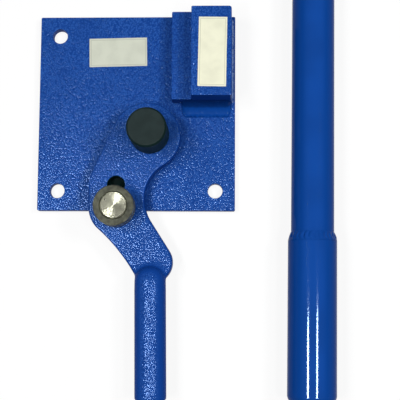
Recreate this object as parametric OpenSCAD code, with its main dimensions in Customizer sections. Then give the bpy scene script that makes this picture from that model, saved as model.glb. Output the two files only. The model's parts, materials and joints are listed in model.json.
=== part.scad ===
// Manual rebar bender: a welded base with a fixed mandrel, a cast lever that swings round it
// with a roller on a lift-out pin, and the loose tube that slips on the lever's stub.
// Frame: origin at the centre of the base plate's underside, +Z up, +Y towards the stop block.
// All sizes are in millimetres.

/* [Base plate] */
// Width of the base plate, along X
plate_w = 200; // [190:1:240]
// Depth of the base plate, along Y
plate_d = 200; // [190:1:240]
// Thickness of the base plate
plate_t = 10; // [10:0.5:14]
// Diameter of the bench bolt holes
bolt_d = 15; // [11:0.5:18]
// Distance of the bench bolt holes from the plate's edges
bolt_inset = 20; // [16:1:24]

/* [Stop block and support bar] */
// Width of the tall stop block, along X
block_w = 40; // [36:0.5:44]
// Length of the stop block and the support bar, along Y
block_l = 90; // [80:1:96]
// Height of the stop block above the support bar: the height of the bar channel
channel_h = 20; // [16:0.5:26]
// Width of the low support bar that the work lies on
bar_w = 20.4; // [18:0.2:21]
// Strip of plate left between the stop block and the plate's side edge
block_margin = 3.5; // [3:0.1:5]
// Rounding of the stop block's outer back corner
block_corner_r = 3; // [1:0.5:5]
// Width of the hollow weld along the front of the block
front_weld = 15; // [8:0.5:16]
// Length of the support bar's end that the front weld leaves clear
weld_clear = 9; // [7:0.5:14]
// Width of the weld along the outer side of the block
side_weld_leg = 3; // [2:0.1:3]

/* [Mandrel] */
// Diameter of the bending mandrel
mandrel_d = 39; // [36:0.5:44]
// Height of the mandrel above the lever
mandrel_h = 41.5; // [30:0.5:50]
// Edge bevel on top of the mandrel
mandrel_bevel = 1.7; // [0.5:0.1:3]
// Clear width of the bar channel, between the mandrel and the stop block
channel_w = 22; // [21:0.1:26]
// Distance from the block's front face back to the pivot axis
pivot_setback = 35.6; // [35:0.1:45]
// Diameter of the journal that the lever turns on
journal_d = 30; // [26:0.5:32]
// Diameter of the spigot that locates the mandrel in the plate
spigot_d = 18; // [15:0.5:19]
// Depth of the spigot in the plate
spigot_l = 6; // [5.5:0.1:6]
// Diameter of the retaining screw's thread
screw_d = 8; // [6:0.5:9]
// Length of the retaining screw under its head
screw_l = 24; // [20:1:30]
// Diameter of the retaining screw's low head
screw_head_d = 14; // [12:0.5:16]
// Height of the retaining screw's low head
screw_head_h = 2.2; // [1.8:0.1:2.3]
// Across-flats size of the key socket in the retaining screw
screw_key = 5; // [4:0.5:6]
// Outer diameter of the retaining washer
retainer_d = 30; // [24:0.5:33]
// Thickness of the retaining washer
retainer_t = 1.6; // [1.2:0.1:1.7]
// Diameter of the dowel that keeps the mandrel from turning
dowel_d = 4; // [3:0.1:4.5]
// Length of the dowel
dowel_l = 10; // [8:0.5:10.5]

/* [Lever] */
// Thickness of the lever's arm
lever_t = 17; // [15:0.5:20]
// Thickness of the thrust washer under the lever
thrust_t = 1; // [0.8:0.1:1.5]
// Outer diameter of the thrust washer
thrust_d = 54; // [50:1:58]
// Wall of the bronze bush in the lever
bush_wall = 3; // [2:0.25:4]
// Radius of the lever's head round the mandrel
head_r = 34; // [32:0.25:34.5]
// Sideways shift of the head from the pivot axis
head_shift_x = -3.5; // [-4:0.1:-2]
// Lengthways shift of the head from the pivot axis
head_shift_y = -1.35; // [-2:0.05:-0.5]
// Sideways distance from the pivot to both pin holes
pin_offset = 33.6; // [32:0.1:36]
// Lengthways distance from the pivot to the outer pin hole, where the roller stands
outer_pin = 73; // [70:0.5:78]
// Lengthways distance from the pivot to the spare inner pin hole
inner_pin = 50; // [46:0.5:53]
// Diameter of the pin holes
pin_hole_d = 17; // [14:0.5:18]
// Floor left under the pin holes
pin_floor = 2; // [1:0.25:4]
// Radius of the boss round the pin holes
boss_r = 27.5; // [26:0.25:29]
// Radius of the hollow in the lever's front side
notch_r = 39.7; // [37:0.25:42]
// Direction from the head's centre to the hollow's centre, in degrees
notch_deg = -59.6; // [-62:0.2:-57]
// Radius of the gentle hollow in the lever's back side
waist_r = 170; // [120:5:300]
// Lengthways distance from the pivot to the knuckle at the foot of the stub
knuckle_reach = 127; // [122:0.5:132]
// Sideways shift of the knuckle from the stub's axis
knuckle_shift = 1.2; // [0:0.1:2]
// Radius of the knuckle
knuckle_r = 20.8; // [19:0.2:23]
// Diameter of the stub that takes the handle
stub_d = 31; // [28:0.25:32]
// Lengthways distance from the pivot to the end of the stub
stub_reach = 261.5; // [250:0.5:280]
// Length that the stub's domed root reaches past the knuckle's centre
root_inset = 17.5; // [15:0.5:22]
// Bevel at the end of the stub
stub_bevel = 2; // [1:0.25:3]
// Turn of the lever about the mandrel at rest, in degrees
lever_turn = 0.77; // [0:0.01:3]

/* [Roller] */
// Outer diameter of the bending roller
roller_d = 39.6; // [36:0.2:42]
// Height of the bending roller
roller_h = 22; // [18:0.5:26]
// Diameter of the pin's journal inside the roller
roller_journal_d = 26.4; // [24:0.2:28]
// Diameter of the pin's flange under the roller
flange_d = 34; // [32:0.2:36]
// Thickness of the pin's flange
flange_t = 3; // [2:0.25:4]
// Depth of the turned cone in the pin's end face
pin_cone = 0.4; // [0.2:0.1:2]
// Bevel on the roller's and the pin's edges
roller_bevel = 0.8; // [0.4:0.1:1.2]

/* [Handle] */
// Length of the handle tube
handle_l = 1000; // [900:5:1200]
// Outer diameter of the handle tube
tube_d = 42.4; // [40:0.1:44]
// Wall of the handle tube
tube_wall = 4.5; // [3.5:0.1:4.6]
// Wall of the sleeve round the tube's lower end
sleeve_wall = 2.9; // [2:0.1:4]
// Length of the sleeve
sleeve_l = 156; // [140:1:180]
// Depth of the bevel at the sleeve's lower end
sleeve_bevel = 2; // [1:0.1:2.5]
// Length of the bevel at the sleeve's lower end
sleeve_bevel_l = 5; // [2:0.5:8]
// Length of the weld that closes the sleeve's upper end on the tube
handle_weld_l = 9; // [6:0.5:12]
// Clear floor between the plate and the sleeve's lower end
handle_gap = 50.6; // [46:0.2:70]
// Distance of the sleeve's lower end in front of the plate's front edge
handle_lead = 187; // [170:1:195]
// Turn of the loose handle on the floor, in degrees
handle_turn = -0.58; // [-1.5:0.02:1.5]

/* [Labels] */
// Width of the blank label on the plate
plate_label_w = 59.4; // [50:0.2:64]
// Height of the blank label on the plate
plate_label_h = 29.9; // [26:0.1:34]
// Distance of the plate label's middle from the plate's left edge
plate_label_x = 80.1; // [76:0.1:84]
// Distance of the plate label's middle from the plate's back edge
plate_label_y = 37; // [34:0.1:45]
// Turn of the plate label, in degrees
plate_label_turn = 1.2; // [-2:0.1:2]
// Width of the blank label on the stop block
block_label_w = 28.2; // [24:0.2:32]
// Length of the blank label on the stop block
block_label_l = 70; // [60:0.5:74]
// Distance of the block label's middle from the block's left side
block_label_x = 21.1; // [19:0.1:22]
// Distance of the block label's middle from the block's back
block_label_y = 46.4; // [42:0.1:48]
// Turn of the block label, in degrees
block_label_turn = -0.94; // [-2:0.02:2]
// Thickness of both labels
label_t = 0.3; // [0.2:0.05:0.5]

/* [Fits] */
// Radial clearance of the running and sliding fits
run_fit = 0.05; // [0.03:0.01:0.1]
// Axial clearance of the lever between its washer and the mandrel
axial_gap = 0.2; // [0.1:0.05:0.4]
// Radial clearance of the dowel, the spigot and the screw in their holes
seat_fit = 0.1; // [0.05:0.01:0.15]

/* [Hidden] */

$fn = 96;
eps = 0.5;              // overrun of every cut past the face it opens
arc_step = 3;           // degrees between the points of a round stretch
paint_blue = [0.10, 0.29, 0.58];
steel_grey = [0.62, 0.63, 0.62];

// Heights
lever_z = plate_t + thrust_t + axial_gap;
lever_top = lever_z + lever_t;
bar_h = lever_top - plate_t;
block_h = bar_h + channel_h;
mandrel_seat = lever_top + axial_gap;

// Places on the plate
block_right = plate_w / 2 - block_margin;
block_left = block_right - block_w;
bar_left = block_left - bar_w;
block_back = plate_d / 2;
block_front = block_back - block_l;
pivot = [block_left - channel_w - mandrel_d / 2, block_front - pivot_setback];
bolt_x = plate_w / 2 - bolt_inset;
bolt_y = plate_d / 2 - bolt_inset;
bolt_holes = [[-bolt_x, bolt_y], [-bolt_x, -bolt_y], [bolt_x, -bolt_y]];

// Mandrel fixings
recess_h = plate_t - spigot_l;
recess_gap = 1.1;       // radial room round the retaining washer
recess_d = retainer_d + 2 * recess_gap;
dowel_r = (spigot_d + journal_d) / 4;
dowel_z = plate_t - dowel_l / 2;
screw_top = recess_h - retainer_t + screw_l;

// Lever, in its own frame: origin on the pivot axis, stub along -Y
head = [head_shift_x, head_shift_y];
hole_out = [-pin_offset, -outer_pin];
hole_in = [-pin_offset, -inner_pin];
hole_z = lever_z + pin_floor;
knuckle = [knuckle_shift, -knuckle_reach];
notch = head + (head_r + notch_r) * [cos(notch_deg), sin(notch_deg)];
bush_r = journal_d / 2 + run_fit;
root_y = -knuckle_reach - root_inset;
stub_z = lever_z + stub_d / 2;
root_draft = 0.1;       // radius that the stub's root gains up to its parallel part
root_clear = 0.7;       // gap from the knuckle to the stub's parallel part
root_l = max(1, knuckle_r - root_inset + root_clear);

// Roller, above the lever
flange_top = lever_top + flange_t;
roller_z = flange_top + axial_gap;
roller_top = roller_z + roller_h;
roller_bore_r = roller_journal_d / 2 + run_fit;

// Handle, in its own frame: sleeve's open end at the origin, tube along +Y
sleeve_r = tube_d / 2 + sleeve_wall;
handle_tilt = atan((sleeve_r - tube_d / 2) / (handle_l - sleeve_l));
handle_z = sleeve_l * sin(handle_tilt) + sleeve_r * cos(handle_tilt);
handle_at = [plate_w / 2 + handle_gap + sleeve_r, -plate_d / 2 - handle_lead, handle_z];

// Points of an arc about c, from angle a to angle b
function arc(c, r, a, b) =
    let (n = max(2, ceil(abs(b - a) / arc_step)))
    [for (i = [0:n]) c + r * [cos(a + (b - a) * i / n), sin(a + (b - a) * i / n)]];

function angle_to(from, to) = atan2(to[1] - from[1], to[0] - from[0]);

// The same direction as a, brought into the 360 degrees from low on
function from_low(a, low) = a + 360 * ceil((low - a) / 360);

// Outward normal of the line that touches both circles on the same side
function outer_tangent(c1, r1, c2, r2) =
    angle_to(c1, c2) - acos((r1 - r2) / norm(c2 - c1));

// Outward normal of the line that touches circle 1 outside and hollow 2 inside
function inner_tangent(c1, r1, c2, r2) =
    angle_to(c1, c2) - acos(min(1, (r1 + r2) / norm(c2 - c1)));

// Centre of the hollow of radius r that touches both circles, to the right of the way from 1 to 2
function hollow_centre(c1, r1, c2, r2, r) =
    let (
        d = norm(c2 - c1),
        a = r1 + r,
        b = r2 + r,
        along = (a * a - b * b + d * d) / (2 * d),
        aside = sqrt(max(0, a * a - along * along)),
        u = (c2 - c1) / d
    )
    c1 + along * u + aside * [u[1], -u[0]];

// Outline of the lever's arm, counter-clockwise from the head's meeting with the notch
function arm_outline() =
    let (
        flank = from_low(outer_tangent(head, head_r, hole_in, boss_r), 90),
        waist = hollow_centre(hole_out, boss_r, knuckle, knuckle_r, waist_r),
        boss_end = from_low(angle_to(hole_out, waist), 180),
        knuckle_start = from_low(angle_to(knuckle, waist), 180),
        knuckle_end = from_low(inner_tangent(knuckle, knuckle_r, notch, notch_r), knuckle_start)
    )
    concat(
        arc(head, head_r, notch_deg, flank),
        arc(hole_in, boss_r, flank, 180),
        arc(hole_out, boss_r, 180, boss_end),
        arc(waist, waist_r, boss_end - 180, knuckle_start - 180),
        arc(knuckle, knuckle_r, knuckle_start, knuckle_end),
        arc(notch, notch_r, knuckle_end - 180, notch_deg + 180)
    );

module at_pivot() {
    translate([pivot[0], pivot[1], 0]) children();
}

module at_lever() {
    at_pivot() rotate([0, 0, lever_turn]) children();
}

module at_roller() {
    at_lever() translate([hole_out[0], hole_out[1], 0]) children();
}

module at_handle() {
    translate(handle_at) rotate([0, 0, handle_turn]) rotate([-handle_tilt, 0, 0]) children();
}

// Turns a profile drawn as [radius, height along the axis] about +Y
module turned_along_y(profile) {
    rotate([-90, 0, 0]) rotate_extrude() polygon(profile);
}

// Section of a weld in a square corner: square legs along +X and +Y, hollow face
module weld_section(leg) {
    polygon(concat([[0, 0]], arc([leg, leg], leg, 270, 180)));
}

module base_plate() {
    color(paint_blue) difference() {
        translate([-plate_w / 2, -plate_d / 2, 0]) cube([plate_w, plate_d, plate_t]);
        for (hole = bolt_holes)
            translate([hole[0], hole[1], -eps]) cylinder(d = bolt_d, h = plate_t + 2 * eps);
        at_pivot() {
            translate([0, 0, -eps]) cylinder(d = recess_d, h = recess_h + eps);
            cylinder(r = spigot_d / 2 + seat_fit, h = plate_t + eps);
            translate([dowel_r, 0, dowel_z])
                cylinder(r = dowel_d / 2 + seat_fit, h = dowel_l);
        }
    }
}

module support_bar() {
    color(paint_blue) translate([bar_left, block_front, plate_t]) cube([bar_w, block_l, bar_h]);
}

module stop_block() {
    r = block_corner_r;
    color(paint_blue) translate([0, 0, plate_t]) linear_extrude(block_h) polygon(concat(
        [[block_left, block_front], [block_right, block_front]],
        arc([block_right - r, block_back - r], r, 0, 90),
        [[block_left, block_back]]
    ));
}

module front_bead() {
    color(paint_blue) translate([bar_left + weld_clear, block_front, plate_t])
        rotate([90, 0, 90]) linear_extrude(block_right - bar_left - weld_clear)
            mirror([1, 0]) weld_section(front_weld);
}

module side_bead() {
    color(paint_blue) translate([block_right, block_back - block_corner_r, plate_t])
        rotate([90, 0, 0]) linear_extrude(block_l - block_corner_r) weld_section(side_weld_leg);
}

module plate_label() {
    color("ivory")
        translate([plate_label_x - plate_w / 2, plate_d / 2 - plate_label_y, plate_t])
            rotate([0, 0, plate_label_turn])
                translate([-plate_label_w / 2, -plate_label_h / 2, 0])
                    cube([plate_label_w, plate_label_h, label_t]);
}

module block_label() {
    color("ivory")
        translate([block_left + block_label_x, block_back - block_label_y, plate_t + block_h])
            rotate([0, 0, block_label_turn])
                translate([-block_label_w / 2, -block_label_l / 2, 0])
                    cube([block_label_w, block_label_l, label_t]);
}

module mandrel() {
    r = mandrel_d / 2;
    top = mandrel_seat + mandrel_h;
    color([0.16, 0.17, 0.17]) at_pivot() difference() {
        rotate_extrude() polygon([
            [0, recess_h], [spigot_d / 2, recess_h], [spigot_d / 2, plate_t],
            [journal_d / 2, plate_t], [journal_d / 2, mandrel_seat], [r, mandrel_seat],
            [r, top - mandrel_bevel], [r - mandrel_bevel, top], [0, top]
        ]);
        translate([0, 0, recess_h - eps])
            cylinder(r = screw_d / 2 + seat_fit, h = screw_top + seat_fit - recess_h + eps);
        translate([dowel_r, 0, plate_t - eps])
            cylinder(r = dowel_d / 2 + seat_fit, h = dowel_l / 2 + seat_fit + eps);
    }
}

module mandrel_dowel() {
    color(steel_grey) at_pivot() translate([dowel_r, 0, dowel_z]) cylinder(d = dowel_d, h = dowel_l);
}

module mandrel_retainer() {
    color(steel_grey) at_pivot() translate([0, 0, recess_h - retainer_t]) difference() {
        cylinder(d = retainer_d, h = retainer_t);
        translate([0, 0, -eps]) cylinder(r = screw_d / 2 + seat_fit, h = retainer_t + 2 * eps);
    }
}

module mandrel_screw() {
    head_z = recess_h - retainer_t - screw_head_h;
    color([0.25, 0.25, 0.26]) at_pivot() difference() {
        union() {
            translate([0, 0, head_z]) cylinder(d = screw_head_d, h = screw_head_h);
            translate([0, 0, head_z]) cylinder(d = screw_d, h = screw_head_h + screw_l);
        }
        translate([0, 0, head_z - eps])
            cylinder(d = screw_key / cos(30), h = screw_head_h + eps, $fn = 6);
    }
}

module thrust_washer() {
    color("peru") at_pivot() translate([0, 0, plate_t]) difference() {
        cylinder(d = thrust_d, h = thrust_t);
        translate([0, 0, -eps]) cylinder(r = bush_r, h = thrust_t + 2 * eps);
    }
}

module lever_stub() {
    r = stub_d / 2;
    translate([0, root_y, stub_z]) {
        sphere(r = r - root_draft);
        mirror([0, 1, 0]) turned_along_y([
            [0, 0], [r - root_draft, 0], [r, root_l], [r, stub_reach + root_y - stub_bevel],
            [r - stub_bevel, stub_reach + root_y], [0, stub_reach + root_y]
        ]);
    }
}

module lever_arm() {
    color(paint_blue) at_lever() difference() {
        union() {
            translate([0, 0, lever_z]) linear_extrude(lever_t) polygon(arm_outline());
            lever_stub();
        }
        translate([0, 0, lever_z - eps]) cylinder(r = bush_r + bush_wall, h = lever_t + 2 * eps);
        for (hole = [hole_out, hole_in])
            translate([hole[0], hole[1], hole_z])
                cylinder(d = pin_hole_d, h = lever_t - pin_floor + eps);
    }
}

module lever_bush() {
    color("peru") at_lever() translate([0, 0, lever_z]) difference() {
        cylinder(r = bush_r + bush_wall, h = lever_t);
        translate([0, 0, -eps]) cylinder(r = bush_r, h = lever_t + 2 * eps);
    }
}

module roller_pin() {
    shank = pin_hole_d / 2 - run_fit;
    foot = hole_z + axial_gap;
    journal = roller_journal_d / 2;
    color("silver") at_roller() rotate_extrude() polygon([
        [0, foot], [shank - roller_bevel, foot], [shank, foot + roller_bevel],
        [shank, lever_top], [flange_d / 2, lever_top], [flange_d / 2, flange_top],
        [journal, flange_top], [journal, roller_top - roller_bevel],
        [journal - roller_bevel, roller_top], [0, roller_top - pin_cone]
    ]);
}

module roller_ring() {
    r = roller_d / 2;
    bevel = roller_bevel;
    color([0.36, 0.37, 0.30]) at_roller() rotate_extrude() polygon([
        [roller_bore_r, roller_z], [r - bevel, roller_z], [r, roller_z + bevel],
        [r, roller_top - bevel], [r - bevel, roller_top],
        [roller_bore_r + bevel, roller_top], [roller_bore_r, roller_top - bevel]
    ]);
}

module handle_tube() {
    r = tube_d / 2;
    color(paint_blue) at_handle() turned_along_y([
        [r - tube_wall, 0], [r, 0], [r, handle_l], [r - tube_wall, handle_l]
    ]);
}

module handle_sleeve() {
    color(paint_blue) at_handle() turned_along_y([
        [tube_d / 2, 0], [sleeve_r - sleeve_bevel, 0], [sleeve_r, sleeve_bevel_l],
        [sleeve_r, sleeve_l], [tube_d / 2, sleeve_l]
    ]);
}

module handle_bead() {
    color(paint_blue) at_handle() turned_along_y([
        [tube_d / 2, sleeve_l], [sleeve_r, sleeve_l], [tube_d / 2, sleeve_l + handle_weld_l]
    ]);
}

base_plate();
support_bar();
stop_block();
front_bead();
side_bead();
plate_label();
block_label();
mandrel();
mandrel_dowel();
mandrel_retainer();
mandrel_screw();
thrust_washer();
lever_arm();
lever_bush();
roller_pin();
roller_ring();
handle_tube();
handle_sleeve();
handle_bead();
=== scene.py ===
"""Manual rebar bender: cast, turned and welded shapes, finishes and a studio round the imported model."""

import json
import math

import bmesh
import bpy
import numpy as np
from bpy.props import FloatProperty, FloatVectorProperty, IntProperty, PointerProperty
from mathutils import Matrix, Vector


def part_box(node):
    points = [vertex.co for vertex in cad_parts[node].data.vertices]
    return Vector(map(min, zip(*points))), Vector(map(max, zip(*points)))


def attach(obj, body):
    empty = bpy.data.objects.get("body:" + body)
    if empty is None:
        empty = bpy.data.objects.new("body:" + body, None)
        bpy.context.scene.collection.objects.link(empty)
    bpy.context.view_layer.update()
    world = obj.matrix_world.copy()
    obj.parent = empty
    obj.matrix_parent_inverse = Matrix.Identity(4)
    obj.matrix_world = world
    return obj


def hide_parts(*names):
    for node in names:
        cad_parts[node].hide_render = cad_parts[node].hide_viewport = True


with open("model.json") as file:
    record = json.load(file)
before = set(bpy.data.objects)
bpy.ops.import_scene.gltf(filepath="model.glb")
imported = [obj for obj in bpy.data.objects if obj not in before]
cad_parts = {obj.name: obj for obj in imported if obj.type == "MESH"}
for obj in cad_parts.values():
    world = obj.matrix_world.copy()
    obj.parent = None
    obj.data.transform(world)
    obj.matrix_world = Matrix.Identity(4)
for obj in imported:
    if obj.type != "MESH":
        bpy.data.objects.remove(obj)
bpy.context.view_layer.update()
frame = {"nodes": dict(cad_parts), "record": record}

bl_info = {
    "name": "Rebar Bender",
    "version": (1, 0, 0),
    "blender": (4, 5, 0),
    "location": "View3D > Sidebar > Bender",
    "description": "Builds a manual rebar bender on its packed model, with its finishes and a studio",
    "category": "Object",
}

MM = 0.001
# Edges that turn by more than this stay crisp: on machined pieces, on the bored casting and on the welds
SHARP_ANGLE = math.radians(32)
CAST_ANGLE = math.radians(40)
WELD_ANGLE = math.radians(50)
# A rounding is followed by a line at this many times its size, which keeps the flat beside it flat
HOLD = 1.3
# Share of a straight that the rounding at one of its ends may take
MOST_CUT = 0.49
# Least cosine at a corner, which limits how far an inset moves the point of a sharp one
LEAST_COSINE = 0.3
# Points closer than this are one point: in most pieces, in a weld's grid and in a finished weld
SAME = 1e-7
GRID_SAME = 1e-6
WELD_SAME = 2e-6
# Refractive index of the shiny paint
PAINT_IOR = 1.75
# Points round a weld bead's section, and the share of them on the bead's open face
BEAD_ROWS = 91
FACE_SHARE = 0.7
# Size of the lumps along a weld's ridge
LUMP = 2.6 * MM
# Running clearance of the bush and the thrust washer on the mandrel's journal
CLEARANCE = 0.05 * MM
# Points that draw one turning mark on the pin's end
MARK_POINTS = 8
# Half the floor's width in metres, and how much light it throws back on the object
FLOOR_HALF = 14
FLOOR_BOUNCE = (0.2, 0.2, 0.2, 1)
# Each lamp's place, width and length in metres, and whether gloss mirrors it
LAMPS = {
    "left_lamp": ((-0.45, -0.42, 1.5), (0.17, 0.44), True),
    "right_lamp": ((0.68, -0.42, 1.5), (0.15, 0.44), True),
    "left_screen": ((-0.62, 0.1, 1.45), (0.25, 0.35), False),
    "right_screen": ((1.02, 0.15, 1.35), (0.25, 0.35), False),
}
# Point on the floor that the lamps face
LAMP_AIM = Vector((0.06, -0.1, 0))

BODY_OF = {node: body for body, nodes in frame["record"]["behaviour"]["bodies"].items() for node in nodes}

PLATE_LOW, PLATE_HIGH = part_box("base_plate")
POST_LOW, POST_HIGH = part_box("mandrel")
BUSH_LOW, BUSH_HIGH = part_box("lever_bush")
RING_LOW, RING_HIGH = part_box("roller_ring")
BLOCK_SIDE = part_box("stop_block")[1].x


def upright_axis(low, high):
    """Place of a piece that is turned about an upright axis through the middle of a box."""
    middle = (low + high) / 2
    return Matrix.Translation((middle.x, middle.y, 0))


PIVOT = upright_axis(POST_LOW, POST_HIGH)
ROLLER_AXIS = upright_axis(RING_LOW, RING_HIGH)


# Properties


def srgb(red, green, blue):
    """A colour given in screen values from 0 to 255, as linear values."""
    def linear(value):
        value /= 255
        return value / 12.92 if value <= 0.04045 else ((value + 0.055) / 1.055) ** 2.4

    return (linear(red), linear(green), linear(blue))


def number(name, description, default, **kind):
    return FloatProperty(name=name, description=description, default=default, **kind)


def triple(name, description, default, **kind):
    return FloatVectorProperty(name=name, description=description, default=default, size=3, **kind)


def whole(name, description, default):
    return IntProperty(name=name, description=description, default=default, min=1)


def length(name, description, millimetres):
    return number(name, description, millimetres * MM, precision=5, unit="LENGTH")


def angle(name, description, degrees):
    return number(name, description, math.radians(degrees), unit="ROTATION")


def share(name, description, default):
    return number(name, description, default, min=0, max=1, subtype="FACTOR")


def power(name, description, watts):
    return number(name, description, watts, unit="POWER")


def position(name, description, metres):
    return triple(name, description, metres, precision=6, subtype="TRANSLATION", unit="LENGTH")


def colour(name, description, rgb):
    return triple(name, description, srgb(*rgb), min=0, max=1, subtype="COLOR")


class BenderBase(bpy.types.PropertyGroup):
    edge: length("Sawn edge", "Rounding of the plate's and the bars' edges under the paint", 0.6)
    bolt_r: length("Bolt hole radius", "Radius of the bench bolt holes", 7.5)
    bolt_inset: length("Bolt hole inset", "Distance of the bolt holes from the plate's edges", 20)
    recess_r: length("Recess radius", "Radius of the recess under the mandrel", 16.1)
    recess_h: length("Recess depth", "Depth of the recess under the mandrel", 4)
    neck_r: length("Spigot hole radius", "Radius of the hole for the mandrel's spigot", 9.1)
    corner: length("Corner", "Rounding of the plate's and the bars' upright corners", 1.5)
    back_corner: length("Back corner", "Rounding of the block's outer back corner", 3)
    ripple: length("Weld ripple", "Height of the ripples on the weld beads", 0.22)
    pitch: length("Weld pitch", "Distance between the ripples of a weld bead", 2.4)
    ridge: length("Weld ridge", "Height of the ridge along the front weld's toe", 1.9)
    label_r: length("Label corner", "Corner radius of the two labels", 0.8)
    label_edge: length("Label edge", "Rounding of the labels' edges", 0.08)
    plate_label_turn: angle("Plate label turn", "Turn of the label on the plate", 1.2)
    block_label_turn: angle("Block label turn", "Turn of the label on the block", -0.94)
    plate_label_w: length("Plate label width", "Width of the label on the plate", 59.4)
    plate_label_h: length("Plate label height", "Height of the label on the plate", 29.9)
    block_label_w: length("Block label width", "Width of the label on the block", 28.2)
    block_label_l: length("Block label length", "Length of the label on the block", 70)


class BenderMandrel(bpy.types.PropertyGroup):
    bevel: length("Post bevel", "Bevel on top of the mandrel", 1.7)
    journal_r: length("Journal radius", "Radius of the journal that the lever turns on", 15)
    spigot_r: length("Spigot radius", "Radius of the spigot in the plate", 9)
    shoulder: length("Shoulder height", "Height of the mandrel's shoulder over the lever's underside", 17.2)
    screw_r: length("Screw hole radius", "Radius of the hole in the retaining washer", 4.1)
    chamfer: length("Chamfer", "Small chamfer on the washers and the bush", 0.3)


class BenderLever(bpy.types.PropertyGroup):
    turn: angle("Rest turn", "Turn of the lever about the mandrel at rest", 0.77)
    head_r: length("Head radius", "Radius of the head round the mandrel", 34)
    head_x: length("Head shift X", "Sideways shift of the head from the pivot", -3.5)
    head_y: length("Head shift Y", "Lengthways shift of the head from the pivot", -1.35)
    pin_offset: length("Pin offset", "Sideways distance from the pivot to the pin holes", 33.6)
    outer_pin: length("Outer pin", "Lengthways distance to the outer pin hole", 73)
    inner_pin: length("Inner pin", "Lengthways distance to the spare inner pin hole", 50)
    pin_hole_r: length("Pin hole radius", "Radius of the pin holes", 8.5)
    pin_floor: length("Pin hole floor", "Floor left under the pin holes", 2)
    boss_r: length("Boss radius", "Radius of the boss round the pin holes", 27.5)
    notch_r: length("Notch radius", "Radius of the hollow in the lever's front side", 39.7)
    notch_at: angle("Notch direction", "Direction from the head's centre to the hollow's centre", -59.6)
    waist_r: length("Waist radius", "Radius of the gentle hollow in the lever's back side", 170)
    knuckle_x: length("Knuckle shift", "Sideways shift of the knuckle from the stub's axis", 1.2)
    knuckle_reach: length("Knuckle reach", "Lengthways distance from the pivot to the knuckle", 127)
    knuckle_r: length("Knuckle radius", "Radius of the knuckle", 20.8)
    stub_r: length("Stub radius", "Radius of the stub that takes the handle", 15.5)
    stub_reach: length("Stub reach", "Lengthways distance from the pivot to the stub's end", 261.5)
    root_reach: length("Root reach", "Lengthways distance to the middle of the stub's domed root", 144.5)
    root_l: length("Root length", "Length of the stub's domed root", 14)
    stub_bevel: length("Stub bevel", "Bevel at the stub's end", 2)
    stub_soft: length("Stub rounding", "Rounding of the bevel's edges at the stub's end", 0.8)
    cast_edge: length("Cast edge", "Rounding of the casting's edges before it is smoothed", 1.2)
    grain: length("Casting grain", "Size of the voxels that the casting is blended with", 0.85)
    smoothing: whole("Smoothing", "Passes that soften the casting", 7)
    root_blend: length("Root blend", "Reach of the soft blend round the stub's root", 30)
    root_core: share("Root core", "Share of the root blend's reach past which it weakens", 0.6)
    root_passes: whole("Root passes", "Passes that blend the stub's root into the arm", 90)
    hole_chamfer: length("Hole chamfer", "Chamfer at the mouths of the bored holes", 0.6)


class BenderRoller(bpy.types.PropertyGroup):
    journal_r: length("Journal radius", "Radius of the pin inside the roller", 13.2)
    bore_r: length("Bore radius", "Radius of the roller's bore", 13.25)
    shank_r: length("Shank radius", "Radius of the pin in the lever", 8.45)
    flange_r: length("Flange radius", "Radius of the pin's flange", 17)
    flange_t: length("Flange thickness", "Thickness of the pin's flange", 3)
    cone: length("Cone depth", "Depth of the turned cone in the pin's end", 0.4)
    bevel: length("Bevel", "Bevel on the roller's and the pin's edges", 0.8)
    groove: length("Tool mark", "Depth of the turning marks on the pin's end", 0.05)
    grooves: whole("Tool marks", "Number of turning marks on the pin's end", 17)


class BenderHandle(bpy.types.PropertyGroup):
    place: position("Place", "Middle of the sleeve's open end", (0.1747, -0.287, 0.024635874))
    turn: angle("Turn", "Turn of the handle on the floor", -0.58)
    tilt: angle("Tilt", "Tilt that brings the tube's far end down to the floor", 0.196869)
    reach: length("Length", "Length of the handle tube", 1000)
    tube_r: length("Tube radius", "Outer radius of the tube", 21.2)
    bore_r: length("Bore radius", "Inner radius of the tube", 16.7)
    sleeve_r: length("Sleeve radius", "Outer radius of the sleeve", 24.1)
    sleeve_l: length("Sleeve length", "Length of the sleeve", 156)
    sleeve_bevel: length("Sleeve bevel", "Depth of the bevel at the sleeve's open end", 2)
    bevel_l: length("Bevel length", "Length of the bevel at the sleeve's open end", 5)
    weld_l: length("Weld length", "Length of the weld over the sleeve's upper end", 9)
    weld_ripple: length("Weld ripple", "Height of the ripples on the handle's weld", 0.8)
    weld_pitch: length("Weld pitch", "Distance between the ripples of the handle's weld", 5)
    edge: length("Cut edge", "Rounding of the tube's cut ends", 0.5)


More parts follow.
